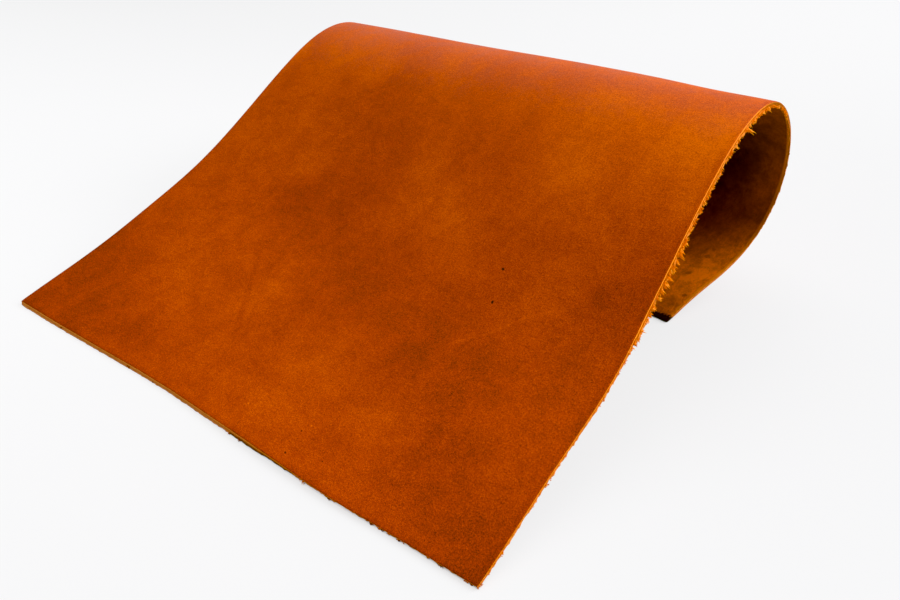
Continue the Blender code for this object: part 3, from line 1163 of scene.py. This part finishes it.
for value, amount in ((mottle, 0.65), (blots, -0.30), (fibre["Height"], 0.28)):
    uneven = calculate(tree, "MULTIPLY_ADD", calculate(tree, "SUBTRACT", value, 0.5), amount, 1.0)
    tone = calculate(tree, "MULTIPLY", tone, uneven)
colour = blend_colours(tree, tone, FLESH["dark"], FLESH["light"])
near_cut = remap(tree, stored(tree, "from_edge"), 0.0, 0.0010, 0.8, 0.0)
colour = blend_colours(tree, near_cut, colour, FLESH["at the cut"])
# painted shade: the under end's corner is painted black on the flesh side too
shade_and_dark_marks = add_marks(tree, flat, 0.0, [UNDER_END_PAINTED_SHADE], THICKNESS, core=0.8)
colour = blend_colours(tree, shade_and_dark_marks, colour, FLESH["black shade"])
tree.links.new(colour, shader.inputs["Base Color"])
relief(tree, shader, fibre["Height"], 0.00030)
print("material:", suede.name)

# %% [markdown]
# ## The loose fibres' finish
#
# Each fibre carries a tone of its own, from the dark crumbs on the front end, through honey, to the pale
# orange of the torn shreds. Light passes through fibres this thin too, and a glow in their own colour, as on
# the cut, is painted light standing for it.

# %% Material of the fibres
CRUMB = (0.30, 0.045, 0.002, 1)
HONEY = (0.80, 0.180, 0.006, 1)
PALE = (1.00, 0.370, 0.040, 1)
# the emission is painted light: the fibres glow in their own colour for the light that passes through them
hair, tree, shader = new_material(
    "loose_fibres", specular_ior_level=0.05, roughness=0.7, emission_strength=0.12,
)
tone = stored(tree, "tone")
colour = blend_colours(tree, remap(tree, tone, 0.1, 0.4), CRUMB, HONEY)
colour = blend_colours(tree, remap(tree, tone, 0.4, 1.0), colour, PALE)
tree.links.new(colour, shader.inputs["Base Color"])
tree.links.new(colour, shader.inputs["Emission Color"])
print("material:", hair.name)

# %% [markdown]
# ## Dress the pieces and tell the frame about them
#
# Both pieces ride on the only body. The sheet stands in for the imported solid, which stays out of sight
# and is still what the physics touches.

for material in (grain, edge, suede):
    leather.data.materials.append(material)
face_materials = np.concatenate([np.full(len(faces), index) for faces, index in face_groups])
leather.data.polygons.foreach_set("material_index", face_materials)
fibres.data.materials.append(hair)
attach(leather, "root")
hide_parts("leather_panel")
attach(fibres, "root")
print("pieces:", leather.name, "and", fibres.name)

# %% [markdown]
# ## Table, light and camera
#
# The panel stands on white paper in soft daylight. A bright sky all round keeps the shadows pale, and
# one large window behind and to the right gives the fold its satin band. Paper that is lit by a whole
# room looks brighter than these few lights make it, so it also glows, for the camera alone, a little
# more to the left and in front than to the right and behind. Ambient occlusion takes the glow away
# where the leather stands on the paper, so that its own shadow stays.

# %% The white table
TABLE_RADIUS = 4
TABLE_SIDES = 96
TABLE_DROP = 0.0002    # so that table and leather don't share a plane
WHITE = (0.52, 0.52, 0.53, 1)
paper, tree, shader = new_material("white_paper", base_color=WHITE, roughness=0.9, specular_ior_level=0.1)
spot = add(tree, "ShaderNodeTexCoord").outputs["Object"]
x, y, _ = add(tree, "ShaderNodeSeparateXYZ", {0: spot}).outputs
strength = remap(tree, x, -0.3, 0.3, 1.105, 1.015)
strength = calculate(tree, "MULTIPLY", strength, remap(tree, y, -0.2, 0.4, 1.05, 0.95))
glow = add(tree, "ShaderNodeEmission", {"Color": (1.0, 1.0, 1.005, 1), "Strength": strength})
seen = add(tree, "ShaderNodeLightPath").outputs["Is Camera Ray"]
openness = add(tree, "ShaderNodeAmbientOcclusion", {"Distance": 0.007}, samples=8).outputs["AO"]
glowing = calculate(tree, "MULTIPLY", remap(tree, openness, 0.05, 0.40, 0.0, 0.68), seen)
lifted = add(tree, "ShaderNodeMixShader", {0: glowing, 1: shader.outputs[0], 2: glow.outputs[0]})
tree.links.new(lifted.outputs[0], tree.nodes["Material Output"].inputs["Surface"])
angle = np.linspace(0, 2 * math.pi, TABLE_SIDES, endpoint=False)
level = np.full(TABLE_SIDES, -TABLE_DROP)
disc = np.stack([TABLE_RADIUS * np.cos(angle), TABLE_RADIUS * np.sin(angle), level], axis=-1)
table = new_piece("table_top", disc, [list(range(TABLE_SIDES))])
table.data.materials.append(paper)
print("table:", 2 * TABLE_RADIUS, "m wide")

# %% The light
AMBIENT = (0.25, 0.25, 0.25, 1)
BACKDROP = (0.93, 0.93, 0.93, 1)
world = bpy.data.worlds.new("daylight")
bpy.context.scene.world = world
world.use_nodes = True
room = world.node_tree.nodes["Background"]
seen = add(world.node_tree, "ShaderNodeLightPath").outputs["Is Camera Ray"]
brightness = blend_colours(world.node_tree, seen, AMBIENT, BACKDROP)
world.node_tree.links.new(brightness, room.inputs["Color"])


def soft_box(name, at, towards, size, power):
    """A square area light at one place, turned to face another; size in metres, power in watts."""
    light = bpy.data.lights.new(name, "AREA")
    light.shape = "SQUARE"
    light.size = size
    light.energy = power
    holder = bpy.data.objects.new(name, light)
    holder.location = at
    holder.rotation_euler = (Vector(towards) - Vector(at)).to_track_quat("-Z", "Y").to_euler()
    holder.visible_camera = False
    bpy.context.scene.collection.objects.link(holder)
    print("light:", name)


soft_box("window", (0.95, 1.05, 1.05), (0.0, 0.0, 0.05), 1.5, 42.0)
soft_box("ceiling", (-0.2, 0.1, 1.6), (0.0, 0.0, 0.0), 1.6, 13.0)
soft_box("far_wall", (-1.5, 1.6, 0.8), (0.0, 0.0, 0.1), 1.6, 5.0)

# %% The camera, and how its light is shown
LOOKS_DOWN = 30.19    # degrees
TURNED_LEFT = 46.21
camera_data = bpy.data.cameras.new("camera")
camera_data.lens = 35.0
camera_data.sensor_width = 36.0
camera_data.clip_start = 0.01
camera = bpy.data.objects.new("camera", camera_data)
camera.location = (0.3143, -0.2575, 0.2293)
camera.rotation_euler = (math.radians(90 - LOOKS_DOWN), 0.0, math.radians(TURNED_LEFT))
bpy.context.scene.collection.objects.link(camera)
bpy.context.scene.camera = camera
view = bpy.context.scene.view_settings
view.view_transform = "Standard"
view.use_curve_mapping = True
view.curve_mapping.black_level = (0.005, 0.004, 0.014)
view.curve_mapping.update()
print("camera at", [round(v, 3) for v in camera.location])

# %% Finish
bpy.context.view_layer.update()
